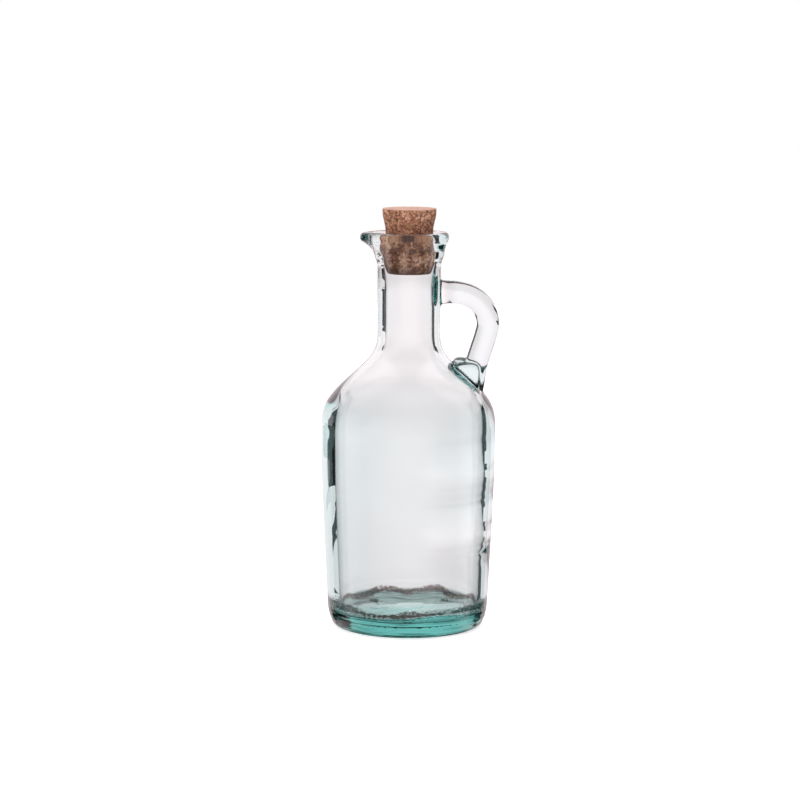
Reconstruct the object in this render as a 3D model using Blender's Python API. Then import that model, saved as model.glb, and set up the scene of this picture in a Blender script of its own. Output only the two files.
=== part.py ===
"""Glass oil bottle with a pulled pouring lip, a strap handle and a tapered cork.

Units are metres and +Z is up. The origin is on the bottle's axis, in the plane of its
underside. The handle reaches toward +X and the pouring lip toward -X.
"""

from math import cos, exp, pi, radians, sin

import bmesh
import bpy
from mathutils import Matrix, Vector

MM = 0.001

# Main sizes of the bottle.
HEEL_RADIUS = 5.2 * MM
STANDING_RADIUS = 34.0 * MM
RIM_TOP = 194.5 * MM
FLOOR_HEIGHT = 8.2 * MM
FLOOR_FILLET = 6.0 * MM
SIDES_AROUND = 48

# The bead that runs round the rim, and the rounded edge of the mouth.
RIM_BEAD_CENTRE = Vector((17.3 * MM, 192.3 * MM))
RIM_BEAD_RADIUS = 2.2 * MM
MOUTH_EDGE_RADIUS = 1.5 * MM
MOUTH_RADIUS = 12.7 * MM

# Outline of the wall's outside, as (radius, height), from the heel to the rim's bead.
BELLY = [(39.5, 12.0), (40.2, 22.0), (41.1, 41.5), (42.1, 61.5), (42.7, 82.0), (42.9, 96.0)]
SHOULDER = [(42.8, 101.0), (42.2, 106.0), (40.4, 111.0), (37.0, 116.0), (31.8, 121.0),
            (26.2, 126.0), (21.2, 130.8), (17.7, 135.6), (16.1, 140.5), (15.6, 146.0)]
NECK = [(15.5, 152.0), (15.5, 174.5)]
COLLAR = [(15.6, 177.8), (16.2, 180.4), (16.9, 183.0), (17.3, 186.4), (18.0, 189.2)]

# Outline of the wall's inside, as (radius, height), from the mouth down to the floor.
CORK_SEAT = [(12.3, 188.5), (11.8, 182.0), (11.3, 176.0)]
BORE = [(11.3, 165.0), (11.3, 154.0)]
INNER_SHOULDER = [(11.4, 146.0), (11.9, 139.8), (13.6, 133.4), (17.8, 127.1), (22.6, 122.3),
                  (28.2, 117.4), (33.2, 112.4), (35.7, 107.2), (36.6, 101.0)]
INNER_BELLY = [(36.9, 90.0), (36.7, 72.0), (36.2, 54.0), (35.4, 36.0), (34.7, 22.0)]
INNER_WALL_FOOT = Vector((34.4 * MM, 15.0 * MM))

# The pouring lip pulled out of the collar at -X.
LIP_REACH = 4.6 * MM
LIP_GROOVE = 5.2 * MM
LIP_HALF_ANGLE = radians(17.0)
LIP_START = 184.0 * MM
LIP_FULL = 190.6 * MM
LIP_CURL = 1.6
GROOVE_START = 181.0 * MM
LIP_SINK = 0.5 * MM

# The strap handle: stations of its centreline as (x, z), in the plane of the handle.
HANDLE_ROUTE = [(13.4, 165.0), (17.5, 165.3), (23.2, 165.2), (29.0, 163.8), (34.0, 160.6),
                (37.5, 155.6), (38.7, 149.7), (37.3, 143.3), (35.3, 137.4), (33.4, 131.8),
                (31.0, 126.5), (27.2, 122.0)]
STRAP_HALF_DEPTH = 5.55 * MM
STRAP_HALF_WIDTH = 5.2 * MM
STRAP_ROOT_GAIN = 0.6 * MM
STRAP_ROOT_SHARE = 0.22
STRAP_FOOT_GAIN = 1.6 * MM
STRAP_FOOT_SHARE = 0.25
STRAP_SQUARENESS = 2.6
STRAP_SIDES = 20
STRAP_STEPS = 3

# The pad of glass under the handle's foot, and the small bead left beside it.
PAD_CENTRE = Vector((28.7 * MM, 0.0, 123.4 * MM))
PAD_HALF_SIZE = Vector((9.6 * MM, 7.6 * MM, 4.2 * MM))
PAD_TILT = radians(45.0)
WELD_BEAD_CENTRE = Vector((23.7 * MM, 0.0, 131.2 * MM))
WELD_BEAD_RADIUS = 2.3 * MM

# The cork.
CORK_TOP = 206.3 * MM
CORK_LENGTH = 32.0 * MM
CORK_TOP_RADIUS = 13.4 * MM
CORK_BOTTOM_RADIUS = 10.8 * MM
CORK_EDGE = 0.6 * MM


def clear_scene() -> None:
    """Remove the objects that a new scene starts with."""
    for obj in list(bpy.data.objects):
        bpy.data.objects.remove(obj, do_unlink=True)


def make_material(name: str, colour: tuple, roughness: float, transmission: float) -> bpy.types.Material:
    """Return a Principled material of one colour."""
    material = bpy.data.materials.new(name)
    material.use_nodes = True
    shader = material.node_tree.nodes["Principled BSDF"]
    shader.inputs["Base Color"].default_value = (*colour, 1.0)
    shader.inputs["Roughness"].default_value = roughness
    shader.inputs["Metallic"].default_value = 0.0
    shader.inputs["Transmission Weight"].default_value = transmission
    return material


def in_metres(stations: list) -> list:
    """Return (radius, height) stations given in millimetres as vectors in metres."""
    return [Vector((a * MM, b * MM)) for a, b in stations]


def arc(centre: Vector, radius: float, start: float, end: float, steps: int) -> list:
    """Return points along an arc, from one angle to the other, in degrees."""
    turns = [radians(start + (end - start) * i / steps) for i in range(steps + 1)]
    return [centre + radius * Vector((cos(t), sin(t))) for t in turns]


def smooth_route(stations: list, steps: int) -> list:
    """Return points along a Catmull-Rom curve through the stations."""
    first = 2 * stations[0] - stations[1]
    last = 2 * stations[-1] - stations[-2]
    guide = [first, *stations, last]
    route = []
    for i in range(1, len(guide) - 2):
        a, b, c, d = guide[i - 1:i + 3]
        for k in range(steps):
            t = k / steps
            bend = (2 * a - 5 * b + 4 * c - d) * t * t + (3 * b - a - 3 * c + d) * t ** 3
            route.append(0.5 * (2 * b + (c - a) * t + bend))
    return [*route, stations[-1]]


def bottle_outline() -> list:
    """Return the wall's whole outline, from the underside's centre round to the floor's."""
    heel_centre = Vector((STANDING_RADIUS, HEEL_RADIUS))
    mouth_centre = Vector((MOUTH_RADIUS + MOUTH_EDGE_RADIUS, RIM_TOP - MOUTH_EDGE_RADIUS))
    fillet_centre = Vector((INNER_WALL_FOOT.x - FLOOR_FILLET, FLOOR_HEIGHT + FLOOR_FILLET))
    return [
        Vector((0.0, 0.0)),
        *arc(heel_centre, HEEL_RADIUS, -90, 0, 5),
        *in_metres(BELLY),
        *in_metres(SHOULDER),
        *in_metres(NECK),
        *in_metres(COLLAR),
        *arc(RIM_BEAD_CENTRE, RIM_BEAD_RADIUS, -45, 90, 6),
        *arc(mouth_centre, MOUTH_EDGE_RADIUS, 90, 180, 3),
        *in_metres(CORK_SEAT),
        *in_metres(BORE),
        *in_metres(INNER_SHOULDER),
        *in_metres(INNER_BELLY),
        INNER_WALL_FOOT,
        *arc(fillet_centre, FLOOR_FILLET, 0, -90, 4),
        Vector((0.0, FLOOR_HEIGHT)),
    ]


def clamp(value: float) -> float:
    """Return the value, kept between 0 and 1."""
    return min(1.0, max(0.0, value))


def ease(value: float) -> float:
    """Return 0 to 1 with level ends, for a value that runs from 0 to 1."""
    t = clamp(value)
    return t * t * (3.0 - 2.0 * t)


def pull_lip(point: Vector) -> Vector:
    """Return where a point of the turned wall goes when the pouring lip is pulled."""
    flat = Vector((point.x, point.y))
    if flat.length < MM or point.z < GROOVE_START:
        return point.copy()
    away = flat.angle(Vector((-1.0, 0.0)))
    nearness = exp(-0.5 * (away / LIP_HALF_ANGLE) ** 2)
    outside = ease((flat.length - MOUTH_RADIUS) / (RIM_BEAD_CENTRE.x - MOUTH_RADIUS))
    outer_rise = clamp((point.z - LIP_START) / (LIP_FULL - LIP_START)) ** LIP_CURL
    inner_rise = ease((point.z - GROOVE_START) / (RIM_TOP - GROOVE_START))
    push = outside * LIP_REACH * outer_rise + (1.0 - outside) * LIP_GROOVE * inner_rise
    moved = flat + flat.normalized() * push * nearness
    return Vector((moved.x, moved.y, point.z - LIP_SINK * nearness * outer_rise))


def mesh_object(name: str, bm: bmesh.types.BMesh, material: bpy.types.Material) -> bpy.types.Object:
    """Return a smooth-shaded object made of the finished bmesh."""
    bmesh.ops.recalc_face_normals(bm, faces=bm.faces[:])
    mesh = bpy.data.meshes.new(name)
    bm.to_mesh(mesh)
    bm.free()
    mesh.shade_smooth()
    mesh.set_sharp_from_angle(angle=radians(40.0))
    mesh.materials.append(material)
    obj = bpy.data.objects.new(name, mesh)
    bpy.context.scene.collection.objects.link(obj)
    return obj


def turned_solid(outline: list, sides: int) -> bmesh.types.BMesh:
    """Return an outline, given as (radius, height), turned once round the Z axis."""
    bm = bmesh.new()
    chain = [bm.verts.new((p.x, 0.0, p.y)) for p in outline]
    edges = [bm.edges.new(pair) for pair in zip(chain, chain[1:])]
    bmesh.ops.spin(bm, geom=chain + edges, cent=(0, 0, 0), axis=(0, 0, 1), angle=2 * pi,
                   steps=sides, use_merge=True, use_duplicate=False)
    bmesh.ops.remove_doubles(bm, verts=bm.verts[:], dist=0.001 * MM)
    return bm


def strap_section(centre: Vector, ahead: Vector, half_depth: float, half_width: float) -> list:
    """Return a rounded square ring about a point of the handle's centreline."""
    outward = Vector((ahead.z, 0.0, -ahead.x))
    ring = []
    for i in range(STRAP_SIDES):
        turn = 2 * pi * (i + 0.5) / STRAP_SIDES
        c, s = cos(turn), sin(turn)
        across = abs(c) ** (2 / STRAP_SQUARENESS) * (1 if c > 0 else -1) * half_depth
        along_y = abs(s) ** (2 / STRAP_SQUARENESS) * (1 if s > 0 else -1) * half_width
        ring.append(centre + outward * across + Vector((0.0, along_y, 0.0)))
    return ring


def make_handle(material: bpy.types.Material) -> bpy.types.Object:
    """Return the strap handle, with both ends inside the bottle's wall."""
    stations = [Vector((x * MM, 0.0, z * MM)) for x, z in HANDLE_ROUTE]
    route = smooth_route(stations, STRAP_STEPS)
    bm = bmesh.new()
    rings = []
    for i, centre in enumerate(route):
        ahead = (route[min(i + 1, len(route) - 1)] - route[max(i - 1, 0)]).normalized()
        share = i / (len(route) - 1)
        gain = STRAP_ROOT_GAIN * ease(1 - share / STRAP_ROOT_SHARE)
        gain += STRAP_FOOT_GAIN * ease(1 - (1 - share) / STRAP_FOOT_SHARE)
        section = strap_section(centre, ahead, STRAP_HALF_DEPTH + gain, STRAP_HALF_WIDTH + gain)
        rings.append([bm.verts.new(p) for p in section])
    for near, far in zip(rings, rings[1:]):
        for i in range(STRAP_SIDES):
            j = (i + 1) % STRAP_SIDES
            bm.faces.new((near[i], near[j], far[j], far[i]))
    bm.faces.new(rings[0])
    bm.faces.new(rings[-1])
    return mesh_object("handle_strap", bm, material)


def make_ellipsoid(name: str, centre: Vector, half_size: Vector, tilt: float,
                   material: bpy.types.Material) -> bpy.types.Object:
    """Return an ellipsoid of glass, tilted about the Y axis."""
    bm = bmesh.new()
    bmesh.ops.create_uvsphere(bm, u_segments=20, v_segments=12, radius=1.0)
    place = Matrix.Translation(centre) @ Matrix.Rotation(tilt, 4, "Y") @ Matrix.Diagonal((*half_size, 1.0))
    bmesh.ops.transform(bm, matrix=place, verts=bm.verts[:])
    return mesh_object(name, bm, material)


def fuse(target: bpy.types.Object, piece: bpy.types.Object) -> None:
    """Join a piece to the target with a Boolean union."""
    piece.hide_render = True
    piece.display_type = "WIRE"
    union = target.modifiers.new("join_" + piece.name, "BOOLEAN")
    union.operation = "UNION"
    union.solver = "EXACT"
    union.object = piece


def make_bottle(material: bpy.types.Material) -> bpy.types.Object:
    """Return the hollow bottle with its lip, handle and handle foot as one solid."""
    bm = turned_solid(bottle_outline(), SIDES_AROUND)
    for vertex in bm.verts:
        vertex.co = pull_lip(vertex.co)
    bottle = mesh_object("bottle", bm, material)
    fuse(bottle, make_handle(material))
    fuse(bottle, make_ellipsoid("handle_foot", PAD_CENTRE, PAD_HALF_SIZE, PAD_TILT, material))
    bead_size = Vector((WELD_BEAD_RADIUS, WELD_BEAD_RADIUS, WELD_BEAD_RADIUS))
    fuse(bottle, make_ellipsoid("weld_bead", WELD_BEAD_CENTRE, bead_size, 0.0, material))
    return bottle


def make_cork(material: bpy.types.Material) -> bpy.types.Object:
    """Return the tapered cork, standing in the mouth and clear of the glass."""
    bottom = CORK_TOP - CORK_LENGTH
    outline = [
        Vector((0.0, bottom)),
        Vector((CORK_BOTTOM_RADIUS - CORK_EDGE, bottom)),
        Vector((CORK_BOTTOM_RADIUS, bottom + CORK_EDGE)),
        Vector((CORK_TOP_RADIUS, CORK_TOP - CORK_EDGE)),
        Vector((CORK_TOP_RADIUS - CORK_EDGE, CORK_TOP)),
        Vector((0.0, CORK_TOP)),
    ]
    return mesh_object("cork", turned_solid(outline, SIDES_AROUND), material)


def main() -> None:
    """Build the bottle and its cork."""
    clear_scene()
    glass = make_material("pale_green_glass", (0.78, 0.90, 0.88), 0.03, 0.9)
    cork = make_material("pressed_cork", (0.46, 0.27, 0.18), 0.85, 0.0)
    make_bottle(glass)
    make_cork(cork)


main()
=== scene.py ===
"""Looks of a glass oil bottle with a strap handle, a pulled pouring lip and a tapered cork.

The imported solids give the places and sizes. The glass is one smooth wall whose shape follows
a rule, and the cork is pressed from granules. The bottle stands on a pale floor in a light
tent that has dark edges, as glass is usually lit.
"""

import logging
import math
from dataclasses import dataclass, field
from enum import Enum

import bpy
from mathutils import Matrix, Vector


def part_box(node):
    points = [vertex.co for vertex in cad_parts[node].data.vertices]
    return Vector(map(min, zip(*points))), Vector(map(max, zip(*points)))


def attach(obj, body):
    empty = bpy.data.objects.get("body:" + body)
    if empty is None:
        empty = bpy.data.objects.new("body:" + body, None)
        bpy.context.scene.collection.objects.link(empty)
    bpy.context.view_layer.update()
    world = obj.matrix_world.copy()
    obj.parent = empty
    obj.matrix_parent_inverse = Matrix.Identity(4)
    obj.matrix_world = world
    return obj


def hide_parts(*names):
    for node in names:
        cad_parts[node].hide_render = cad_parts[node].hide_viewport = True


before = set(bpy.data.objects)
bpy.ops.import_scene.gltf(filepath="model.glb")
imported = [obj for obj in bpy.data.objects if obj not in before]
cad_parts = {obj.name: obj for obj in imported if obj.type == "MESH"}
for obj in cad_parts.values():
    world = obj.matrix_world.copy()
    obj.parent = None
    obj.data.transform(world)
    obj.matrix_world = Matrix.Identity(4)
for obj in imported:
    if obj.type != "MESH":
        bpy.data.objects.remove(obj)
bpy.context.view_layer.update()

MM = 0.001
log = logging.getLogger("oil_bottle")


class Sum(Enum):
    """The sums that a Math node does here."""

    ADD = "ADD"
    SUBTRACT = "SUBTRACT"
    MULTIPLY = "MULTIPLY"
    DIVIDE = "DIVIDE"
    POWER = "POWER"
    ROOT = "SQRT"
    EXPONENT = "EXPONENT"
    SINE = "SINE"
    TURN = "ARCTAN2"
    SIZE = "ABSOLUTE"
    LEAST = "MINIMUM"
    MOST = "MAXIMUM"
    SOFT_LEAST = "SMOOTH_MIN"
    SOFT_MOST = "SMOOTH_MAX"


class Ray(Enum):
    """The kinds of light path that the stage is hidden from."""

    GLOSSY = "visible_glossy"
    TRANSMISSION = "visible_transmission"


class Reading:
    """A number that varies over space, worked out by the nodes of one recipe."""

    def __init__(self, recipe: "Recipe", socket: bpy.types.NodeSocket) -> None:
        """Keep the socket that gives the number.

        Args:
            recipe: The recipe whose tree holds the socket.
            socket: The output socket.
        """
        self.recipe = recipe
        self.socket = socket

    def __add__(self, other: "Reading | float") -> "Reading":
        """Return self + other."""
        return self.recipe.work(Sum.ADD, self, other)

    def __sub__(self, other: "Reading | float") -> "Reading":
        """Return self - other."""
        return self.recipe.work(Sum.SUBTRACT, self, other)

    def __rsub__(self, other: float) -> "Reading":
        """Return other - self."""
        return self.recipe.work(Sum.SUBTRACT, other, self)

    def __mul__(self, other: "Reading | float") -> "Reading":
        """Return self * other."""
        return self.recipe.work(Sum.MULTIPLY, self, other)

    def __truediv__(self, other: "Reading | float") -> "Reading":
        """Return self / other."""
        return self.recipe.work(Sum.DIVIDE, self, other)

    def __rtruediv__(self, other: float) -> "Reading":
        """Return other / self."""
        return self.recipe.work(Sum.DIVIDE, other, self)

    def __pow__(self, other: float) -> "Reading":
        """Return self to the power of other."""
        return self.recipe.work(Sum.POWER, self, other)

    def __neg__(self) -> "Reading":
        """Return the number with its sign turned."""
        return self.recipe.work(Sum.SUBTRACT, 0.0, self)

    def root(self) -> "Reading":
        """Return the square root."""
        return self.recipe.work(Sum.ROOT, self)

    def exponent(self) -> "Reading":
        """Return e to the power of the number."""
        return self.recipe.work(Sum.EXPONENT, self)

    def size(self) -> "Reading":
        """Return the number without its sign."""
        return self.recipe.work(Sum.SIZE, self)

    def least(self, other: "Reading | float", blend: "Reading | float" = 0.0) -> "Reading":
        """Return the smaller of two numbers.

        Args:
            other: The other number.
            blend: How near the two are when they start to round into each other.

        Returns:
            The smaller number, rounded where the two are near.
        """
        if isinstance(blend, Reading) or blend > 0.0:
            return self.recipe.work(Sum.SOFT_LEAST, self, other, blend)
        return self.recipe.work(Sum.LEAST, self, other)

    def most(self, other: "Reading | float", blend: float = 0.0) -> "Reading":
        """Return the larger of two numbers.

        Args:
            other: The other number.
            blend: How near the two are when they start to round into each other.

        Returns:
            The larger number, rounded where the two are near.
        """
        if blend > 0.0:
            return self.recipe.work(Sum.SOFT_MOST, self, other, blend)
        return self.recipe.work(Sum.MOST, self, other)

    def ramp(self, low: float, high: float) -> "Reading":
        """Return a number that eases from 0 to 1 as this one goes from low to high.

        Args:
            low: Where the ramp gives 0.
            high: Where the ramp gives 1. It may be less than low.

        Returns:
            The eased number.
        """
        near, far = (low, high) if low < high else (high, low)
        node = self.recipe.node("ShaderNodeMapRange", {"Value": self, "From Min": near, "From Max": far},
                                interpolation_type="SMOOTHERSTEP")
        rise = Reading(self.recipe, node.outputs["Result"])
        return rise if low < high else 1.0 - rise


class Recipe:
    """A node tree in the making, with named inputs and outputs."""

    def __init__(self, tree: bpy.types.NodeTree) -> None:
        """Keep the tree that the nodes go into."""
        self.tree = tree

    def node(self, kind: str, inputs: dict | None = None, **settings: object) -> bpy.types.Node:
        """Add a node.

        Args:
            kind: The node's type name.
            inputs: What each named or numbered input takes: a reading, a socket or a plain value.
            settings: Settings of the node itself.

        Returns:
            The new node.
        """
        node = self.tree.nodes.new(kind)
        for name, value in settings.items():
            setattr(node, name, value)
        for key, value in (inputs or {}).items():
            self.feed(node.inputs[key], value)
        return node

    def feed(self, socket: bpy.types.NodeSocket, value: object) -> None:
        """Link a reading or a socket to an input, or set a plain value on it.

        Args:
            socket: The input.
            value: What it takes.
        """
        if isinstance(value, Reading):
            value = value.socket
        if isinstance(value, bpy.types.NodeSocket):
            self.tree.links.new(value, socket)
        else:
            socket.default_value = value

    def work(self, step: Sum, *terms: "Reading | float") -> Reading:
        """Return the result of one Math node.

        Args:
            step: The sum it does.
            terms: Its terms, in order.

        Returns:
            The reading of its result.
        """
        node = self.node("ShaderNodeMath", dict(enumerate(terms)), operation=step.value)
        return Reading(self, node.outputs[0])

    def profile(self, along: Reading, stations: list[tuple[float, float]]) -> Reading:
        """Return a number read from a smooth curve through the stations.

        Args:
            along: What the curve is read by.
            stations: Pairs of where and how much, in rising order.

        Returns:
            The number that the curve gives.
        """
        start, end = stations[0][0], stations[-1][0]
        low, high = min(much for _, much in stations), max(much for _, much in stations)
        node = self.node("ShaderNodeFloatCurve", {"Value": (along - start) / (end - start)})
        curve = node.mapping.curves[0]
        points = [((where - start) / (end - start), (much - low) / (high - low))
                  for where, much in stations]
        curve.points[0].location, curve.points[1].location = points[0], points[-1]
        for point in points[1:-1]:
            curve.points.new(*point)
        node.mapping.update()
        return Reading(self, node.outputs[0]) * (high - low) + low

    def split(self, vector: bpy.types.NodeSocket) -> tuple[Reading, Reading, Reading]:
        """Return the three parts of a vector."""
        node = self.node("ShaderNodeSeparateXYZ", {0: vector})
        return tuple(Reading(self, out) for out in node.outputs)

    def join(self, x: "Reading | float", y: "Reading | float",
             z: "Reading | float") -> bpy.types.NodeSocket:
        """Return a vector made of three numbers."""
        return self.node("ShaderNodeCombineXYZ", {0: x, 1: y, 2: z}).outputs[0]

    def vector(self, operation: str, first: object, second: object) -> bpy.types.NodeSocket:
        """Return the result of one Vector Math node.

        Args:
            operation: What it does.
            first: The first vector.
            second: The second vector, or the number that scales the first.

        Returns:
            The socket of its result.
        """
        node = self.node("ShaderNodeVectorMath", {0: first}, operation=operation)
        self.feed(node.inputs["Scale" if operation == "SCALE" else 1], second)
        return node.outputs["Value" if operation == "DOT_PRODUCT" else "Vector"]

    def mix(self, share: "Reading | bpy.types.NodeSocket", first: object,
            second: object) -> bpy.types.NodeSocket:
        """Return a colour mixed from two.

        Args:
            share: How much of the second colour there is.
            first: The first colour, plain or as a socket.
            second: The second colour, plain or as a socket.

        Returns:
            The socket of the mixed colour.
        """
        node = self.node("ShaderNodeMix", {"Factor": share}, data_type="RGBA")
        for place, colour in ((6, first), (7, second)):
            self.feed(node.inputs[place], (*colour, 1.0) if isinstance(colour, tuple) else colour)
        return node.outputs[2]

    def noise(self, place: bpy.types.NodeSocket, scale: Reading | float, detail: float) -> Reading:
        """Return the reading of a noise texture.

        Args:
            place: Where it is read.
            scale: How fine it is, in waves for each unit of the place.
            detail: How many finer layers it has.

        Returns:
            A number around 0.5.
        """
        node = self.node("ShaderNodeTexNoise", {"Vector": place, "Scale": scale, "Detail": detail})
        return Reading(self, node.outputs[0])


class ShapeRecipe(Recipe):
    """A Geometry Nodes tree with its own group sockets."""

    def __init__(self, name: str) -> None:
        """Start an empty tree of this name."""
        super().__init__(bpy.data.node_groups.new(name, "GeometryNodeTree"))
        self.start = self.tree.nodes.new("NodeGroupInput")
        self.end = self.tree.nodes.new("NodeGroupOutput")

    def take(self, name: str, kind: str = "Float", value: object = None) -> Reading:
        """Add a named input.

        Args:
            name: The input's name.
            kind: The kind of socket.
            value: The value it has until another is set.

        Returns:
            The reading of the input.
        """
        item = self.tree.interface.new_socket(name=name, in_out="INPUT", socket_type="NodeSocket" + kind)
        if value is not None:
            item.default_value = value
        return Reading(self, self.start.outputs[name])

    def give(self, name: str, kind: str, value: object) -> None:
        """Add a named output that gives the value.

        Args:
            name: The output's name.
            kind: The kind of socket.
            value: The reading or socket that it gives.
        """
        self.tree.interface.new_socket(name=name, in_out="OUTPUT", socket_type="NodeSocket" + kind)
        self.feed(self.end.inputs[name], value)


def grown(name: str, recipe: ShapeRecipe, values: dict, seed_mesh: bpy.types.Mesh) -> bpy.types.Object:
    """Run a shape recipe and keep its result as a plain mesh object.

    Args:
        name: The new object's name.
        recipe: The finished recipe.
        values: What each named input is set to.
        seed_mesh: The mesh that the recipe starts from.

    Returns:
        A mesh object at the origin, with no modifier left on it.
    """
    host = bpy.data.objects.new(name + "_host", seed_mesh)
    bpy.context.scene.collection.objects.link(host)
    modifier = host.modifiers.new("shape", "NODES")
    modifier.node_group = recipe.tree
    sockets = {item.name: item.identifier for item in recipe.tree.interface.items_tree
               if item.in_out == "INPUT"}
    for key, value in values.items():
        modifier[sockets[key]] = value
    evaluated = host.evaluated_get(bpy.context.evaluated_depsgraph_get())
    mesh = bpy.data.meshes.new_from_object(evaluated)
    mesh.name = name
    bpy.data.objects.remove(host, do_unlink=True)
    piece = bpy.data.objects.new(name, mesh)
    bpy.context.scene.collection.objects.link(piece)
    return piece


def smooth_route(stations: list[Vector], steps: int) -> list[Vector]:
    """Return points along a Catmull-Rom curve through the stations.

    Args:
        stations: The points that the curve goes through.
        steps: How many points there are from one station to the next.

    Returns:
        The points, from the first station to the last.
    """
    guide = [2 * stations[0] - stations[1], *stations, 2 * stations[-1] - stations[-2]]
    route = []
    for i in range(1, len(guide) - 2):
        a, b, c, d = guide[i - 1:i + 3]
        for k in range(steps):
            t = k / steps
            bend = (2 * a - 5 * b + 4 * c - d) * t * t + (3 * b - a - 3 * c + d) * t ** 3
            route.append(0.5 * (2 * b + (c - a) * t + bend))
    return [*route, stations[-1]]


@dataclass(frozen=True)
class Swelling:
    """A soft swelling of the cavity's floor towards one side. A lift under 0 is a hollow."""

    turn: float
    spread: float
    lift: float


@dataclass(frozen=True)
class SideWall:
    """The cavity's radius along one side, by height, and how far round it holds."""

    turn: float
    fade: float
    full: float
    stations: list[tuple[float, float]]


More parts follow.
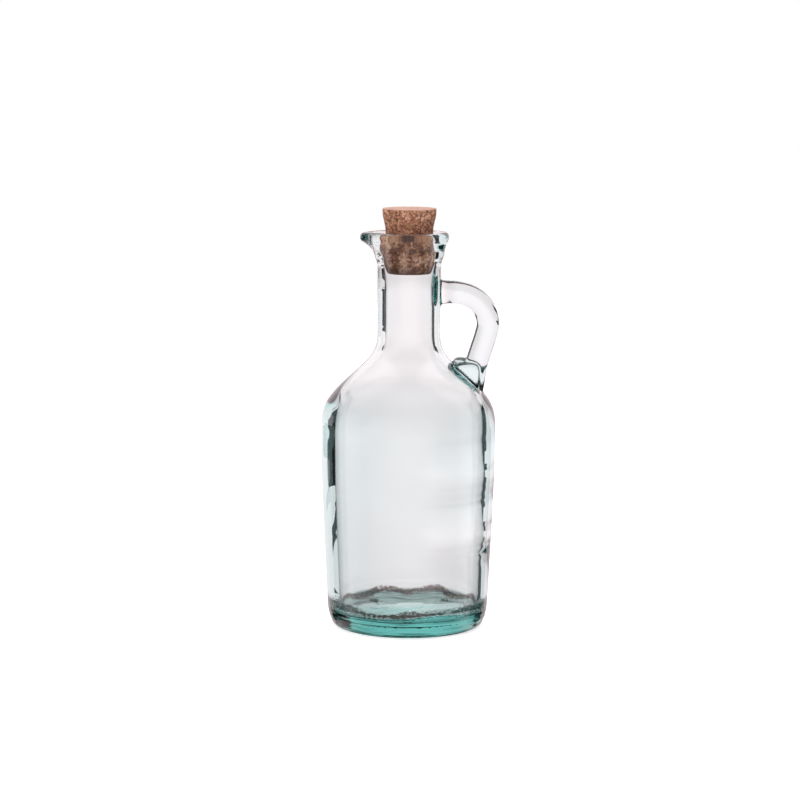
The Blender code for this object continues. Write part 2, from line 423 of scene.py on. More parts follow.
@dataclass(frozen=True)
class BottleGlass:
    """Recycled glass: clear, with a green-blue tint that shows where it is thick."""

    ior: float = 1.52
    tint: tuple[float, float, float] = (0.04, 0.84, 0.81)
    strength: float = 19.0
    # Painted shade: the heel is tinted and streaked darker, with a dark line along its bottom edge.
    painted_heel_shade_pale: tuple[float, float, float] = (0.53, 0.70, 0.67)
    painted_heel_shade_deep: tuple[float, float, float] = (0.10, 0.14, 0.13)
    heel_fade: tuple[float, float] = (12.0, 9.0)
    heel_reach: tuple[float, float] = (32.0, 35.5)
    dash_band: tuple[float, float] = (6.5, 8.5)
    dash_share: float = 0.85
    foot_line: tuple[float, float] = (1.7, 0.5)
    foot_line_share: float = 0.7
    painted_streak_length: float = 20.0
    painted_streak_height: float = 1.7
    # Painted shade at the lip's tip.
    painted_lip_shade: tuple[float, float, float] = (0.26, 0.31, 0.29)
    painted_lip_reach: tuple[float, float] = (-17.5, -20.5)
    painted_lip_rise: tuple[float, float] = (184.0, 187.5)
    # Painted shade: a dark speckled line round the floor's edge, in the crease where it meets the wall.
    painted_edge_shade: tuple[float, float, float] = (0.07, 0.045, 0.04)
    painted_edge_height: float = 11.0
    painted_edge_width: float = 2.1
    painted_edge_wander: float = 3.0
    painted_edge_hump: float = 1.3
    humps_round: float = 7.0
    painted_edge_grit: float = 1.5
    painted_edge_roughness: float = 6.0
    grain_size: float = 1.1
    grain_depth: float = 0.25
    grain_low: float = 10.5
    grain_high: float = 16.0
    grain_radius: float = 29.0

    def painted_heel_streaks(self, recipe: Recipe, x: Reading, y: Reading, z: Reading,
                     radius: Reading) -> Reading:
        """Return how dark the heel's painted shade streaks are: soft ones, dashes above and a dark line
        below.
        """
        # Painted shade streaks in the thick heel, deeper towards its outer edge, with dashes above and a
        # dark line at the bottom.
        stretched = recipe.join(x / self.painted_streak_length, y / self.painted_streak_length, z / self.painted_streak_height)
        noise = recipe.noise(stretched, 1.0, 1.5)
        dashes = noise.ramp(0.36, 0.52) * z.ramp(*self.dash_band) * self.dash_share
        line = z.ramp(*self.foot_line) * self.foot_line_share
        return noise.ramp(0.46, 0.70).most(dashes).most(line) * radius.ramp(*self.heel_reach)

    def painted_floor_edge(self, recipe: Recipe, x: Reading, y: Reading, z: Reading,
                   radius: Reading) -> Reading:
        """Return how dark the speckled line of painted shade is that runs in humps round the floor's edge.
        """
        # Painted shade along the crease where the floor meets the wall.
        turn = recipe.work(Sum.TURN, y, x)
        humps = recipe.work(Sum.SINE, turn * self.humps_round) * self.painted_edge_hump
        wander = (recipe.noise(recipe.join(x, y, 0.0), 0.045, 1.0) - 0.5) * self.painted_edge_wander + humps
        off = (z - self.painted_edge_height - wander) / self.painted_edge_width
        edge_band = off.size().ramp(1.0, 0.2) * radius.ramp(37.6, 36.8) * radius.ramp(26.0, 30.0)
        rough = (recipe.noise(recipe.join(x, y, z), self.painted_edge_grit, 2.0) - 0.5) * self.painted_edge_roughness
        return (edge_band + rough).ramp(0.12, 0.62) * edge_band.ramp(0.0, 0.15)

    def shade(self, recipe: Recipe, x: Reading, y: Reading, z: Reading,
              radius: Reading) -> bpy.types.NodeSocket:
        """Return the glass colour: clear, but darker with painted shade in the heel, at the lip's tip and
        round the floor.

        Args:
            recipe: The recipe that the nodes go into.
            x: The place along X, in millimetres.
            y: The place along Y, in millimetres.
            z: The height, in millimetres.
            radius: The distance from the axis, in millimetres.

        Returns:
            The socket of the colour.
        """
        # Painted shade in the heel.
        heel = recipe.mix(self.painted_heel_streaks(recipe, x, y, z, radius), self.painted_heel_shade_pale, self.painted_heel_shade_deep)
        whole = recipe.mix(z.ramp(*self.heel_fade), (1.0, 1.0, 1.0), heel)
        # Painted shade at the lip's tip, for the dark tent edges seen through it.
        tip = x.ramp(*self.painted_lip_reach) * z.ramp(*self.painted_lip_rise)
        whole = recipe.mix(tip, whole, self.painted_lip_shade)
        # Painted shade round the floor's edge.
        return recipe.mix(self.painted_floor_edge(recipe, x, y, z, radius), whole, self.painted_edge_shade)

    def material(self) -> bpy.types.Material:
        """Return the glass with its tint inside and the grain of its floor's edge."""
        material = bpy.data.materials.new("recycled_glass")
        material.use_nodes = True
        recipe = Recipe(material.node_tree)
        shader = material.node_tree.nodes["Principled BSDF"]
        shader.inputs["Roughness"].default_value = 0.0
        shader.inputs["IOR"].default_value = self.ior
        shader.inputs["Transmission Weight"].default_value = 1.0
        shader.inputs["Specular IOR Level"].default_value = 0.5
        inside = recipe.node("ShaderNodeVolumeAbsorption",
                             {"Color": (*self.tint, 1.0), "Density": self.strength})
        out = material.node_tree.nodes["Material Output"]
        material.node_tree.links.new(inside.outputs[0], out.inputs["Volume"])
        place = recipe.node("ShaderNodeTexCoord").outputs["Object"]
        x, y, z = recipe.split(recipe.vector("SCALE", place, 1.0 / MM))
        radius = (x * x + y * y).root()
        recipe.feed(shader.inputs["Base Color"], self.shade(recipe, x, y, z, radius))
        band = z.ramp(self.grain_high, self.grain_high - 3.0) * z.ramp(self.grain_low - 2.0, self.grain_low)
        band = band * radius.ramp(self.grain_radius - 4.0, self.grain_radius)
        height = recipe.noise(place, 1.0 / (self.grain_size * MM), 1.5) * band
        bump = recipe.node("ShaderNodeBump", {"Height": height, "Distance": self.grain_depth * MM,
                                              "Strength": 1.0})
        recipe.feed(shader.inputs["Normal"], bump.outputs["Normal"])
        return material


@dataclass
class GlassBottle:
    """The bottle's wall with its lip and handle. Sizes are in millimetres."""

    glass: BottleGlass = field(default_factory=BottleGlass)
    cell: float = 1.08
    probe: float = 0.1
    depth_band: float = 5.0
    rim_top: float = 194.5
    foot_radius: float = 39.15
    belly_radius: float = 42.95
    belly_widening: float = 0.0475
    heel_radius: float = 36.3
    heel_slope: float = 0.58
    shoulder_radius: float = 32.2
    shoulder_height: float = 121.0
    shoulder_slope: float = 1.1
    shoulder_blend: float = 15.6
    neck_radius: float = 15.5
    collar_radius: float = 17.3
    collar_rise: tuple[float, float] = (175.0, 188.0)
    collar_blend: float = 11.2
    bead_height: float = 192.3
    bead_radius: float = 2.05
    rim_flare: float = 1.5
    rim_rise: tuple[float, float] = (182.5, 192.0)
    cavity_radius: float = 36.9
    cavity_foot_radius: float = 34.1
    cavity_widening: float = 0.036
    throat_radius: float = 26.8
    throat_blend: float = 13.0
    hollow_blend: float = 15.0
    ripple_fine: float = 0.015
    ripple_fine_length: float = 17.0
    floor_height: float = 8.0
    floor_blend: float = 10.5
    mound_height: float = 1.5
    ring_depth: float = 0.045
    ring_spacing: float = 3.0
    ripple_depth: float = 0.5
    ripple_length: float = 48.0
    lip_start: float = 184.0
    lip_height: float = 6.6
    lip_reach: float = 4.6
    lip_groove: float = 5.2
    groove_start: float = 181.0
    lip_spread: float = math.radians(17.0)
    strap_depth: float = 5.55
    strap_width: float = 5.2
    strap_squareness: float = 2.6
    root_pinch: float = 2.4
    pad_centre: tuple[float, float] = (28.3, 123.4)
    pad_size: tuple[float, float, float] = (6.2, 7.9, 7.5)
    pad_squareness: float = 4.5
    pad_rounding: float = 2.2
    roll_centre: tuple[float, float] = (25.4, 131.5)
    roll_size: tuple[float, float, float] = (3.7, 5.0, 1.9)
    handle_route: list[tuple[float, float]] = field(default_factory=lambda: [
        (13.4, 165.0), (17.5, 165.3), (23.2, 165.2), (29.0, 163.8), (34.0, 160.6), (37.5, 155.6),
        (38.7, 149.7), (37.3, 143.3), (35.4, 137.4), (33.7, 131.8), (32.2, 126.5), (31.0, 121.0),
        (30.0, 115.0)])
    side_walls: list[SideWall] = field(default_factory=lambda: [
        SideWall(math.radians(204.0), 0.30, 0.90, [
            (0.0, 33.4), (8.0, 33.5), (16.4, 33.7), (26.3, 34.05), (36.3, 34.44), (46.2, 34.84),
            (53.6, 35.15), (61.1, 35.44), (68.5, 35.7), (76.0, 35.89), (83.4, 36.0), (90.9, 36.06),
            (98.3, 36.0), (103.3, 35.84), (109.0, 35.55), (120.0, 35.2), (130.0, 35.2)]),
        SideWall(math.radians(-24.0), 0.40, 0.92, [
            (0.0, 34.6), (16.0, 35.0), (27.0, 35.5), (37.0, 36.4), (43.0, 37.15), (47.0, 37.35),
            (51.0, 37.1), (56.0, 36.55), (61.0, 36.45), (66.0, 36.7), (72.0, 37.1), (77.0, 37.25),
            (81.0, 37.0), (85.0, 36.65), (91.0, 36.55), (99.0, 36.8), (109.0, 36.9), (130.0, 36.9)])])
    seat: list[tuple[float, float]] = field(default_factory=lambda: [
        (150.0, 11.3), (166.0, 11.3), (170.0, 11.5), (174.5, 11.95), (179.0, 12.45), (184.0, 12.8),
        (190.0, 12.7), (194.5, 13.0), (200.0, 13.2)])
    floor_swellings: list[Swelling] = field(default_factory=lambda: [
        Swelling(1.57, 0.35, -2.0), Swelling(2.15, 0.35, 1.3), Swelling(1.0, 0.3, 0.9),
        Swelling(-1.1, 0.4, 1.5)])

    def outer_radius(self, z: Reading) -> Reading:
        """Return the outside radius at a height, without the bead and the lip."""
        belly = (z * self.belly_widening + self.foot_radius).least(self.belly_radius, 1.2)
        slant = (self.shoulder_height - z) * self.shoulder_slope + self.shoulder_radius
        flare = z.ramp(*self.collar_rise)
        flare = flare * flare * (3.0 - flare * 2.0)
        collar = flare * (self.collar_radius - self.neck_radius) + self.neck_radius
        collar = collar + z.ramp(*self.rim_rise) ** 1.6 * self.rim_flare
        return belly.least(slant.most(collar, self.collar_blend), self.shoulder_blend)

    def floor_relief(self, x: Reading, y: Reading, radius: Reading) -> Reading:
        """Return how far the floor's swellings lift it, before they fade towards the axis."""
        total: Reading | float = 0.0
        for swelling in self.floor_swellings:
            facing = (x * math.cos(swelling.turn) + y * math.sin(swelling.turn)) / radius
            total = ((facing - 1.0) / swelling.spread ** 2).exponent() * swelling.lift + total
        return total

    def cavity(self, recipe: Recipe, place: bpy.types.NodeSocket, x: Reading, y: Reading, z: Reading,
               radius: Reading, near_lip: Reading) -> Reading:
        """Return how far a place is outside the cavity, less than 0 inside it.

        Args:
            recipe: The recipe that the nodes go into.
            place: The place, in metres.
            x: The place along X, in millimetres.
            y: The place along Y, in millimetres.
            z: The height, in millimetres.
            radius: The distance from the axis, in millimetres.
            near_lip: 1 at the lip's middle, less to its sides.

        Returns:
            The distance, in millimetres.
        """
        ripple = recipe.noise(place, 1.0 / (self.ripple_length * MM), 1.0) - 0.5
        ripple = ripple * (2.0 * self.ripple_depth)
        fine = recipe.noise(place, 1.0 / (self.ripple_fine_length * MM), 1.0) - 0.5
        fine = fine * (2.0 * self.ripple_fine)
        groove = near_lip * z.ramp(self.groove_start, self.rim_top) * self.lip_groove
        bore = recipe.profile(z, self.seat)
        slant = (self.shoulder_height - z) * self.shoulder_slope + self.throat_radius
        belly = (z * self.cavity_widening + self.cavity_foot_radius).least(self.cavity_radius, 1.2)
        for side in self.side_walls:
            facing = (x * math.cos(side.turn) + y * math.sin(side.turn)) / radius
            holds = facing.ramp(side.fade, side.full)
            belly = belly + holds * (recipe.profile(z, side.stations) - belly)
            ripple = ripple * (1.0 - holds) + holds * fine
        belly = belly + ripple
        inside = belly.least(slant.most(bore + groove, self.throat_blend), self.hollow_blend)
        mound = radius.ramp(30.0, 3.0) * self.mound_height
        relief = self.floor_relief(x, y, radius) * radius.ramp(8.0, 30.0)
        floor = relief + mound + self.floor_height + ripple
        return (radius - inside).most(floor - z, self.floor_blend)

    def strap(self, recipe: Recipe, route: Reading, x: Reading, y: Reading, z: Reading) -> Reading:
        """Return how far a place is outside the strap handle."""
        flat_place = recipe.join(x * MM, 0.0, z * MM)
        near = recipe.node("GeometryNodeProximity", {"Geometry": route, "Sample Position": flat_place},
                           target_element="EDGES")
        near_x, _, near_z = recipe.split(recipe.vector("SCALE", near.outputs["Position"], 1.0 / MM))
        gain = near_x.ramp(21.0, 13.5) * near_z.ramp(155.0, 160.0) * 0.5 + near_z.ramp(133.0, 121.0) * 0.8
        across = Reading(recipe, near.outputs["Distance"]) / MM / (gain + self.strap_depth)
        pinch = near_x.ramp(25.0, 15.0) * near_z.ramp(146.0, 156.0) * self.root_pinch
        along_y = y.size() / (near_z.ramp(133.0, 121.0) * 0.4 + self.strap_width - pinch)
        power = self.strap_squareness
        return ((across ** power + along_y ** power) ** (1.0 / power) - 1.0) * self.strap_depth

    def pad(self, x: Reading, y: Reading, z: Reading) -> Reading:
        """Return how far a place is outside the flat pad of glass at the handle's foot."""
        half_x, half_y, half_z = self.pad_size
        u = ((x - self.pad_centre[0]) / half_x).size()
        w = ((z - self.pad_centre[1]) / half_z).size()
        power = self.pad_squareness
        rim = ((u ** power + w ** power) ** (1.0 / power) - 1.0) * half_x
        return rim.most(y.size() - half_y, self.pad_rounding)

    def roll(self, x: Reading, y: Reading, z: Reading) -> Reading:
        """Return how far a place is outside the small roll of glass above the pad."""
        half_x, half_y, half_z = self.roll_size
        u, v, w = (x - self.roll_centre[0]) / half_x, y / half_y, (z - self.roll_centre[1]) / half_z
        return ((u * u + v * v + w * w).root() - 1.0) * half_z

    def depth_recipe(self) -> ShapeRecipe:
        """Return the recipe that tells how far a place is outside the glass, in millimetres."""
        recipe = ShapeRecipe("glass_depth")
        place = recipe.take("Place", "Vector").socket
        route = recipe.take("Handle Route", "Geometry")
        x, y, z = recipe.split(recipe.vector("SCALE", place, 1.0 / MM))
        radius = (x * x + y * y).root().most(0.5)
        near_lip = ((x / radius + 1.0) / -(self.lip_spread ** 2)).exponent()
        rise = ((z - self.lip_start) / self.lip_height).most(0.0).least(1.0) ** 1.6
        pull = near_lip * rise * self.lip_reach
        low = z + near_lip * rise * 0.5
        wave = recipe.work(Sum.SINE, z * (2.0 * math.pi / self.ring_spacing))
        rings = wave * z.ramp(13.0, 8.0) * self.ring_depth
        wall = (radius - self.outer_radius(z) - pull + rings).most(low - self.rim_top, 2.0)
        off_bead = radius - self.collar_radius - near_lip * rise * (self.lip_reach - 0.5)
        above_bead = low - self.bead_height
        bead = (off_bead * off_bead + above_bead * above_bead).root() - self.bead_radius - near_lip * 0.5
        heel = (radius + rings - z * self.heel_slope - self.heel_radius) / math.hypot(1.0, self.heel_slope)
        shell = wall.least(bead, 2.0).most(heel, 4.0).most(-z, 3.0)
        foot = shell.least(self.pad(x, y, z), 0.9)
        foot = foot.least(self.roll(x, y, z), 1.0)
        solid = foot.least(self.strap(recipe, route, x, y, z), z.ramp(146.0, 156.0) * 0.6 + 1.2)
        hollow = self.cavity(recipe, place, x, y, z, radius, near_lip)
        recipe.give("Depth", "Float", solid.most(-hollow, 2.6))
        return recipe

    def surface_recipe(self) -> ShapeRecipe:
        """Return the recipe that skins the glass where its depth is zero."""
        depth = self.depth_recipe()
        recipe = ShapeRecipe("blown_bottle")
        route = recipe.take("Handle Route", "Geometry")
        cell = recipe.take("Cell Size", "Float", self.cell * MM)
        probe = recipe.take("Probe Length", "Float", self.probe * MM)
        glass = recipe.take("Glass", "Material")
        band = self.depth_band

        def depth_at(place: bpy.types.NodeSocket) -> Reading:
            """Return the glass depth at a place."""
            node = recipe.node("GeometryNodeGroup", node_tree=depth.tree)
            recipe.feed(node.inputs["Place"], place)
            recipe.feed(node.inputs["Handle Route"], route)
            return Reading(recipe, node.outputs["Depth"])

        low = Vector((-46.0, -46.0, -4.0)) * MM
        high = Vector((48.0, 46.0, self.rim_top + 4.0)) * MM
        place = recipe.node("GeometryNodeInputPosition").outputs[0]
        counts = {}
        for key, span in zip(("Resolution X", "Resolution Y", "Resolution Z"), high - low):
            counts[key] = recipe.work(Sum.DIVIDE, span, cell)
        cube = recipe.node("GeometryNodeVolumeCube", {
            "Density": (band - depth_at(place)).most(0.0), "Background": 0.0, "Min": low, "Max": high,
            **counts})
        skin = recipe.node("GeometryNodeVolumeToMesh", {"Volume": cube.outputs[0], "Threshold": band},
                           resolution_mode="GRID").outputs[0]

        def slope(here: bpy.types.NodeSocket) -> bpy.types.NodeSocket:
            """Return the direction in which the depth grows, in millimetres a metre."""
            parts = []
            for axis in range(3):
                step = recipe.join(*(probe if i == axis else 0.0 for i in range(3)))
                ahead = depth_at(recipe.vector("ADD", here, step))
                behind = depth_at(recipe.vector("SUBTRACT", here, step))
                parts.append((ahead - behind) / (probe * 2.0))
            return recipe.join(*parts)

        for _ in range(2):
            away = slope(place)
            steep = Reading(recipe, recipe.vector("DOT_PRODUCT", away, away))
            back = recipe.vector("SCALE", away, depth_at(place) / steep * -1.0)
            skin = recipe.node("GeometryNodeSetPosition", {"Geometry": skin, "Offset": back}).outputs[0]
        skin = recipe.node("GeometryNodeSetShadeSmooth", {
            "Geometry": skin, "Shade Smooth": True}).outputs[0]
        facing = recipe.vector("NORMALIZE", slope(place), (0.0, 0.0, 0.0))
        skin = recipe.node("GeometryNodeSetMeshNormal", {"Mesh": skin}, mode="FREE", domain="POINT")
        recipe.feed(skin.inputs["Custom Normal"], facing)
        real = recipe.node("GeometryNodeRealizeInstances", {0: skin.outputs[0]}).outputs[0]
        dressed = recipe.node("GeometryNodeSetMaterial", {"Geometry": real, "Material": glass}).outputs[0]
        recipe.give("Glass Wall", "Geometry", dressed)
        return recipe

    def route_mesh(self) -> bpy.types.Mesh:
        """Return the handle's centreline as a chain of edges."""
        stations = [Vector((x * MM, 0.0, z * MM)) for x, z in self.handle_route]
        route = smooth_route(stations, 24)
        mesh = bpy.data.meshes.new("handle_route")
        mesh.from_pydata(route, [(i, i + 1) for i in range(len(route) - 1)], [])
        return mesh

    def build(self) -> bpy.types.Object:
        """Build the glass and set it in place of its solid.

        Returns:
            The glass wall.
        """
        material = self.glass.material()
        wall = grown("glass_wall", self.surface_recipe(),
                     {"Cell Size": self.cell * MM, "Probe Length": self.probe * MM, "Glass": material},
                     self.route_mesh())
        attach(wall, "root")
        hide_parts("bottle")
        log.info("glass wall: %d faces", len(wall.data.polygons))
        return wall


@dataclass(frozen=True)
class PressedCork:
    """Cork pressed from reddish brown granules, with dark flecks of bark, painted shade behind the rim's
    front, a darker bottom end and a top painted lighter as lit from above.
    """

    bark_and_shade: tuple[float, float, float] = (0.055, 0.022, 0.014)
    dark: tuple[float, float, float] = (0.17, 0.068, 0.036)
    middle: tuple[float, float, float] = (0.36, 0.165, 0.092)
    pale: tuple[float, float, float] = (0.66, 0.42, 0.29)
    # Painted light: the paler colour of the cork's top face.
    painted_top_light: tuple[float, float, float] = (0.50, 0.345, 0.28)
    granule: float = 1.25
    grit: float = 0.55
    cloud: float = 5.0
    speck: float = 0.8
    relief: float = 0.2
    top: float = 206.2
    painted_top_light_share: float = 0.72
    seat_fade: tuple[float, float] = (193.0, 191.0)
    base_fade: tuple[float, float] = (180.5, 175.0)
    base_share: float = 0.7
    # Painted shade on the cork just behind the rim's front edge.
    painted_rim_shade_place: tuple[float, float, float] = (-1.0, -12.0, 192.9)
    painted_rim_shade_spread: tuple[float, float, float] = (45.0, 9.0, 2.6)

    def material(self) -> bpy.types.Material:
        """Return the cork's mottled material: granules, dark specks of bark, painted shade behind the rim,
        a darker bottom end and a cut top painted lighter as lit from above.
        """
        material = bpy.data.materials.new("pressed_cork_granules")
        material.use_nodes = True
        recipe = Recipe(material.node_tree)
        shader = material.node_tree.nodes["Principled BSDF"]
        shader.inputs["Roughness"].default_value = 0.85
        place = recipe.node("ShaderNodeTexCoord").outputs["Object"]
        cells = recipe.node("ShaderNodeTexVoronoi", {"Vector": place, "Scale": 1.0 / (self.granule * MM)})
        shade, other, _ = recipe.split(cells.outputs["Color"])
        fine = recipe.noise(place, 1.0 / (self.grit * MM), 3.0)
        cloud = recipe.noise(place, 1.0 / (self.cloud * MM), 1.0)
        x, y, height = recipe.split(recipe.vector("SCALE", place, 1.0 / MM))
        pressed = height.ramp(*self.seat_fade)
        stretched = recipe.noise(recipe.join(x, y, height * 0.14), 0.55, 2.0)
        mix = shade * 0.42 + fine * 0.95 - 0.27
        mix = mix + (cloud - 0.5) * (pressed * 0.9 + 0.5) + (stretched - 0.5) * pressed * 1.3
        ramp = recipe.node("ShaderNodeValToRGB", {"Fac": mix})
        ramp.color_ramp.elements[0].color = (*self.dark, 1.0)
        ramp.color_ramp.elements[0].position = 0.18
        ramp.color_ramp.elements[1].color = (*self.pale, 1.0)
        ramp.color_ramp.elements[1].position = 0.86
        ramp.color_ramp.elements.new(0.46).color = (*self.middle, 1.0)
        specks = recipe.node("ShaderNodeTexVoronoi", {"Vector": place, "Scale": 1.0 / (self.speck * MM)})
        chance, _, _ = recipe.split(specks.outputs["Color"])
        specks_and_shade = Reading(recipe, specks.outputs["Distance"]).ramp(0.55, 0.40) * chance.ramp(0.80, 0.84)
        specks_and_shade = specks_and_shade.most(other.ramp(0.90, 0.92) * 0.75)
        # Painted shade: a dark patch on the cork just behind the rim's front edge.
        away: Reading | float = 0.0
        for along, middle, spread in zip((x, y, height), self.painted_rim_shade_place, self.painted_rim_shade_spread):
            away = (along - middle) * (along - middle) / spread + away
        painted_rim_shade = (away.root().ramp(1.25, 0.4) * 1.3 + (fine - 0.5) * 2.5 - 0.4).ramp(0.0, 0.7)
        # The painted rim shade joins the bark specks, and the cork is made darker towards its bottom end.
        specks_and_shade = specks_and_shade.most(painted_rim_shade).most(height.ramp(*self.base_fade) * self.base_share)
        flecked_and_shaded = recipe.mix(specks_and_shade * 0.92, ramp.outputs["Color"], self.bark_and_shade)
        # Painted light: the cut top is made paler, as lit from above.
        painted_top_mask = height.ramp(self.top - 0.5, self.top - 0.15) * self.painted_top_light_share
        recipe.feed(shader.inputs["Base Color"], recipe.mix(painted_top_mask, flecked_and_shaded, self.painted_top_light))
        bump = recipe.node("ShaderNodeBump", {
            "Height": mix - specks_and_shade * 0.5, "Distance": self.relief * MM, "Strength": 0.9})
        recipe.feed(shader.inputs["Normal"], bump.outputs["Normal"])
        return material


@dataclass
class Cork:
    """The tapered stopper. Sizes are in millimetres."""

    finish: PressedCork = field(default_factory=PressedCork)
    sides: int = 200
    rows: int = 76
    rings: int = 26
    inset: float = 0.12
    relief: float = 0.12
    outline: list[tuple[float, float]] = field(default_factory=lambda: [
        (174.3, 10.4), (174.9, 11.0), (178.0, 11.9), (182.0, 12.5), (186.0, 12.55), (190.0, 12.1),
        (194.3, 11.6), (199.0, 12.2), (205.6, 13.15), (206.3, 12.95)])

    def recipe(self) -> ShapeRecipe:
        """Return the recipe that forms the tapered plug and presses granules into it."""
        recipe = ShapeRecipe("pressed_cork")
        recipe.take("Seed Mesh", "Geometry")
        width = recipe.take("Widest Radius")
        length = recipe.take("Length")
        base = recipe.take("Base Height")
        granule = recipe.take("Granule Size", "Float", self.finish.granule * MM)
        relief = recipe.take("Relief", "Float", self.relief * MM)
        cork = recipe.take("Cork", "Material")
        cone = recipe.node("GeometryNodeMeshCone", {
            "Vertices": self.sides, "Side Segments": self.rows, "Fill Segments": self.rings,
            "Radius Top": width, "Radius Bottom": width, "Depth": length}, fill_type="TRIANGLE_FAN")
        place = recipe.node("GeometryNodeInputPosition").outputs[0]
        x, y, z = recipe.split(place)
        height = z + base
        narrow = recipe.profile(height / MM, self.outline) * MM / width
        waisted = recipe.join(x * narrow, y * narrow, height)
        plug = recipe.node("GeometryNodeSetPosition", {"Geometry": cone.outputs["Mesh"],
                                                       "Position": waisted}).outputs[0]
        facing = recipe.node("GeometryNodeInputNormal").outputs[0]
        cells = recipe.node("ShaderNodeTexVoronoi", {"Vector": place, "Scale": 1.0 / granule},
                            feature="DISTANCE_TO_EDGE")
        edge_band = Reading(recipe, cells.outputs["Distance"]).ramp(0.16, 0.0)
        pit = recipe.noise(place, 1.6 / granule, 2.0).ramp(0.60, 0.68)
        sink = (edge_band * 0.55 + pit * 2.0) * relief * -1.0
        push = recipe.vector("SCALE", facing, sink)
        plug = recipe.node("GeometryNodeSetPosition", {"Geometry": plug, "Offset": push}).outputs[0]
        plug = recipe.node("GeometryNodeSetShadeSmooth", {
            "Geometry": plug, "Shade Smooth": True}).outputs[0]
        real = recipe.node("GeometryNodeRealizeInstances", {0: plug}).outputs[0]
        recipe.give("Plug", "Geometry", recipe.node("GeometryNodeSetMaterial", {
            "Geometry": real, "Material": cork}).outputs[0])
        return recipe

    def build(self) -> bpy.types.Object:
        """Build the cork and set it in place of its solid.

        Returns:
            The cork.
        """
        low, high = (Vector(corner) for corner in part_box("cork"))
        gap = self.inset * MM
        plug = grown("cork_plug", self.recipe(), {
            "Widest Radius": high.x - gap, "Length": high.z - low.z - 2 * gap,
            "Base Height": low.z + gap, "Granule Size": self.finish.granule * MM,
            "Relief": self.relief * MM, "Cork": self.finish.material()}, bpy.data.meshes.new("cork_seed"))
        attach(plug, "root")
        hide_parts("cork")
        log.info("cork: %d faces", len(plug.data.polygons))
        return plug


@dataclass(frozen=True)
class Flag:
    """A dark card beside the bottle. Its inner edge is cut to a line, by how far up it is."""

    edge: list[tuple[float, float]]
    end: float = 0.97
    bottom: float = -0.30
    top: float = 0.30
    softness: float = 0.05


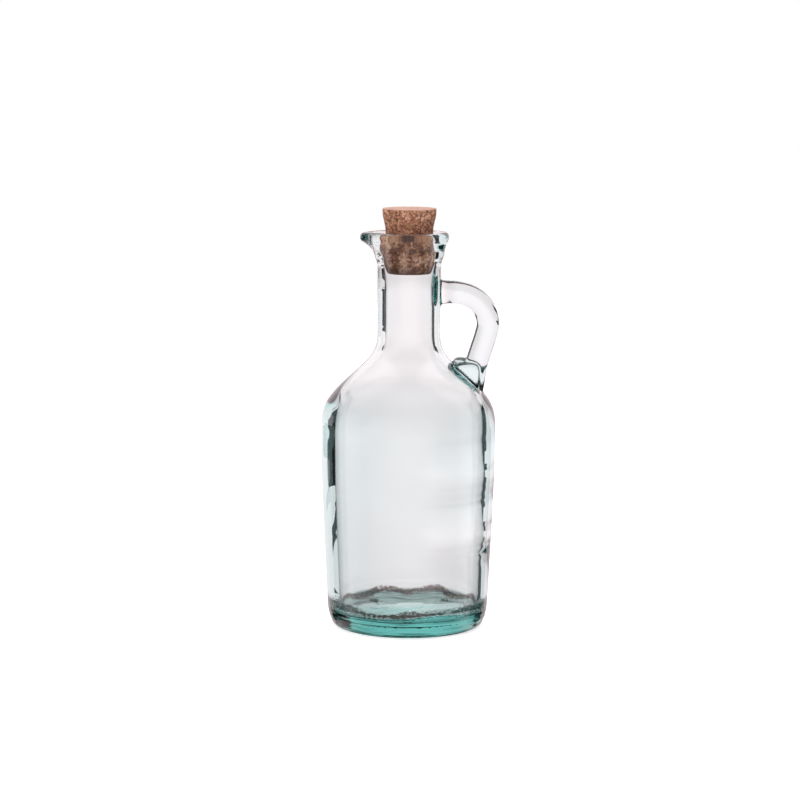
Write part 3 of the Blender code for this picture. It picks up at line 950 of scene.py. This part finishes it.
@dataclass
class Studio:
    """The pale floor, the light tent and the camera."""

    lens_px: float = 2766.0
    frame_px: float = 800.0
    distance: float = 1.36
    pitch: float = math.radians(7.7)
    roll: float = math.radians(0.28)
    aim: tuple[float, float, float] = (-0.00416, 0.0, 0.1119)
    back_glow: tuple[float, float, float] = (1.228, 1.034, 1.062)
    front_share: float = 0.28
    soft_share: float = 0.66
    left_flag: Flag = field(default_factory=lambda: Flag([
        (-0.42, 0.50), (-0.32, 0.50), (-0.28, 0.78), (-0.206, 0.78), (-0.199, 0.56), (-0.194, 0.60),
        (-0.187, 0.78), (-0.170, 0.78), (-0.164, 0.62), (-0.157, 0.47), (-0.145, 0.46), (-0.130, 0.48),
        (-0.115, 0.56), (-0.100, 0.57), (-0.089, 0.57), (-0.083, 0.86), (0.10, 0.86), (0.15, 0.76),
        (0.30, 0.76)], bottom=-0.42))
    right_flag: Flag = field(default_factory=lambda: Flag([
        (-0.50, 0.62), (-0.125, 0.63), (-0.115, 0.70), (0.09, 0.71), (0.14, 0.60), (0.40, 0.60)],
        bottom=-0.48))
    flag_glow: tuple[float, float, float] = (0.014, 0.012, 0.013)
    thick_share: float = 0.08
    deep_share: float = 0.04
    level_share: float = 0.6
    panel_side: tuple[float, float] = (0.68, 0.60)
    panel_top: tuple[float, float] = (0.85, 0.75)
    level_fade: tuple[float, float] = (0.26, 0.18)
    front_fade: tuple[float, float] = (0.3, -0.3)
    side_fade: tuple[float, float] = (0.0, 0.5)
    low_fade: tuple[float, float] = (-0.08, -0.24)
    floor_fade: tuple[float, float] = (-0.34, -0.56)
    inner_gain: float = 1.1
    floor_falloff: float = -0.30
    side_falloff: float = -0.08
    low_falloff: float = -0.16
    ground_glow: tuple[float, float, float] = (0.13, 0.072, 0.068)
    ground_start: float = -0.60
    ground_end: float = -0.70
    floor_radius: float = 1.6
    floor_level: float = -0.0002
    floor_colour: tuple[float, float, float] = (0.74, 0.86, 0.84)
    floor_glow: float = 0.62
    lamp_aim: tuple[float, float, float] = (0.0, 0.0, 0.12)
    bounces: int = 32

    def camera(self) -> None:
        """Place the camera as the photograph has it."""
        data = bpy.data.cameras.new("photo_camera")
        data.sensor_width = 36.0
        data.lens = self.lens_px / self.frame_px * data.sensor_width
        data.clip_start = 0.05
        camera = bpy.data.objects.new("photo_camera", data)
        bpy.context.scene.collection.objects.link(camera)
        back = Vector((0.0, -math.cos(self.pitch), math.sin(self.pitch)))
        turn = back.to_track_quat("Z", "Y").to_matrix().to_4x4()
        camera.matrix_world = turn @ turn.Rotation(self.roll, 4, "Z")
        camera.matrix_world.translation = Vector(self.aim) + back * self.distance
        bpy.context.scene.camera = camera

    def counted(self, recipe: Recipe, path: bpy.types.Node, kind: str, number: int) -> Reading:
        """Return 1 where a light path has at least a number of bounces of a kind, else 0.

        Args:
            recipe: The recipe that the nodes go into.
            path: The Light Path node.
            kind: The name of its depth output.
            number: How many bounces there must be.

        Returns:
            The reading, 1 or 0.
        """
        return Reading(recipe, path.outputs[kind]).ramp(number - 0.6, number - 0.4)

    def flags(self, recipe: Recipe, side: Reading, z: Reading) -> Reading:
        """Return how much of each direction the two dark flags cover."""
        total: Reading | float = 0.0
        for sign, flag in ((-1.0, self.left_flag), (1.0, self.right_flag)):
            turned = side * sign
            edge = 0.5 * flag.softness
            inset = turned - recipe.profile(z, flag.edge)
            card = inset.ramp(-edge, edge) * turned.ramp(flag.end + 0.3 * edge, flag.end - 0.3 * edge)
            card = card * z.ramp(flag.bottom - edge, flag.bottom + edge)
            total = card * z.ramp(flag.top + edge, flag.top - edge) + total
        return total

    def world(self) -> None:
        """Light the tent: bright all round, with dark flags at the sides.

        Light that has gone through both walls meets the flags only faintly. Light that the
        glass has guided along inside is dimmed, except towards the tent's middle and its level
        band. The tent's front is dimmer for mirrored light and for light that a matt piece
        scatters, and what reaches the cork through the glass is made brighter.
        """
        world = bpy.data.worlds.new("light_tent")
        world.use_nodes = True
        bpy.context.scene.world = world
        recipe = Recipe(world.node_tree)
        glow = world.node_tree.nodes["Background"]
        toward = recipe.node("ShaderNodeTexCoord").outputs["Generated"]
        x, y, z = recipe.split(toward)
        level = (x * x + y * y).root().most(0.001)
        side = x / level
        path = recipe.node("ShaderNodeLightPath")
        thin = 1.0 - self.counted(recipe, path, "Transmission Depth", 4)
        clear = 1.0 - self.counted(recipe, path, "Diffuse Depth", 1)
        guided = self.counted(recipe, path, "Glossy Depth", 1)
        inside = self.counted(recipe, path, "Transmission Depth", 1) * (1.0 - clear)
        deep = self.counted(recipe, path, "Ray Depth", 5) * clear * guided
        panel = side.size().ramp(*self.panel_side) * z.ramp(*self.panel_top)
        panel = panel.most(z.size().ramp(*self.level_fade) * self.level_share)
        deep = deep * (1.0 - panel) * (1.0 - self.deep_share)
        falloff = side.size().ramp(*self.side_fade) * self.side_falloff + 1.0
        falloff = falloff * (z.ramp(*self.low_fade) * self.low_falloff + 1.0)
        falloff = falloff * (z.ramp(*self.floor_fade) * (1.0 - thin) * self.floor_falloff + 1.0)
        veiled = clear * guided * (1.0 - self.front_share) + (1.0 - clear) * (1.0 - self.soft_share)
        facing = 1.0 - (y / level).ramp(*self.front_fade) * veiled
        share = facing * falloff * (1.0 - deep) * (inside * self.inner_gain + 1.0)
        bright = recipe.vector("SCALE", self.back_glow, share)
        ground = z.ramp(self.ground_start, self.ground_end) * thin
        grounded = recipe.mix(ground, bright, self.ground_glow)
        cards = self.flags(recipe, side, z) * (thin * (1.0 - self.thick_share) + self.thick_share)
        lit = recipe.mix(cards, grounded, self.flag_glow)
        seen = recipe.mix(path.outputs["Is Camera Ray"], lit, (1.0, 1.0, 1.0))
        recipe.feed(glow.inputs["Color"], seen)
        glow.inputs["Strength"].default_value = 1.0

    def floor(self) -> None:
        """Lay the pale floor."""
        sides = 96
        turns = [2 * math.pi * i / sides for i in range(sides)]
        points = [(self.floor_radius * math.cos(turn), self.floor_radius * math.sin(turn), self.floor_level)
                  for turn in turns]
        mesh = bpy.data.meshes.new("pale_floor")
        mesh.from_pydata(points, [], [list(range(sides))])
        floor = bpy.data.objects.new("pale_floor", mesh)
        bpy.context.scene.collection.objects.link(floor)
        material = bpy.data.materials.new("pale_floor")
        material.use_nodes = True
        shader = material.node_tree.nodes["Principled BSDF"]
        shader.inputs["Base Color"].default_value = (*self.floor_colour, 1.0)
        shader.inputs["Roughness"].default_value = 0.9
        shader.inputs["Emission Color"].default_value = (1.0, 1.0, 1.0, 1.0)
        shader.inputs["Emission Strength"].default_value = self.floor_glow
        mesh.materials.append(material)
        for ray in Ray:
            setattr(floor, ray.value, False)

    def lamp(self, name: str, place: Vector, size: tuple[float, float], watts: float) -> None:
        """Hang a soft lamp that faces the bottle.

        Args:
            name: The lamp's name.
            place: Where it hangs.
            size: Its width and height.
            watts: Its power.
        """
        data = bpy.data.lights.new(name, "AREA")
        data.shape = "RECTANGLE"
        data.size, data.size_y = size
        data.energy = watts
        lamp = bpy.data.objects.new(name, data)
        bpy.context.scene.collection.objects.link(lamp)
        lamp.location = place
        lamp.rotation_euler = (place - Vector(self.lamp_aim)).to_track_quat("Z", "Y").to_euler()
        lamp.visible_camera = False
        for ray in Ray:
            setattr(lamp, ray.value, False)

    def build(self) -> None:
        """Set the whole stage."""
        self.camera()
        self.world()
        self.floor()
        self.lamp("left_strip", Vector((-0.75, -1.0, 0.35)), (0.16, 0.9), 5.0)
        self.lamp("top_soft", Vector((0.1, 0.2, 1.3)), (0.9, 0.9), 12.0)
        scene = bpy.context.scene
        scene.view_settings.view_transform = "Standard"
        scene.cycles.max_bounces = self.bounces
        scene.cycles.transmission_bounces = self.bounces
        scene.cycles.glossy_bounces = self.bounces


def main() -> None:
    """Build the bottle, its cork and the stage."""
    logging.basicConfig(level=logging.INFO, format="%(message)s")
    Studio().build()
    GlassBottle().build()
    Cork().build()


if __name__ == "__main__":
    main()
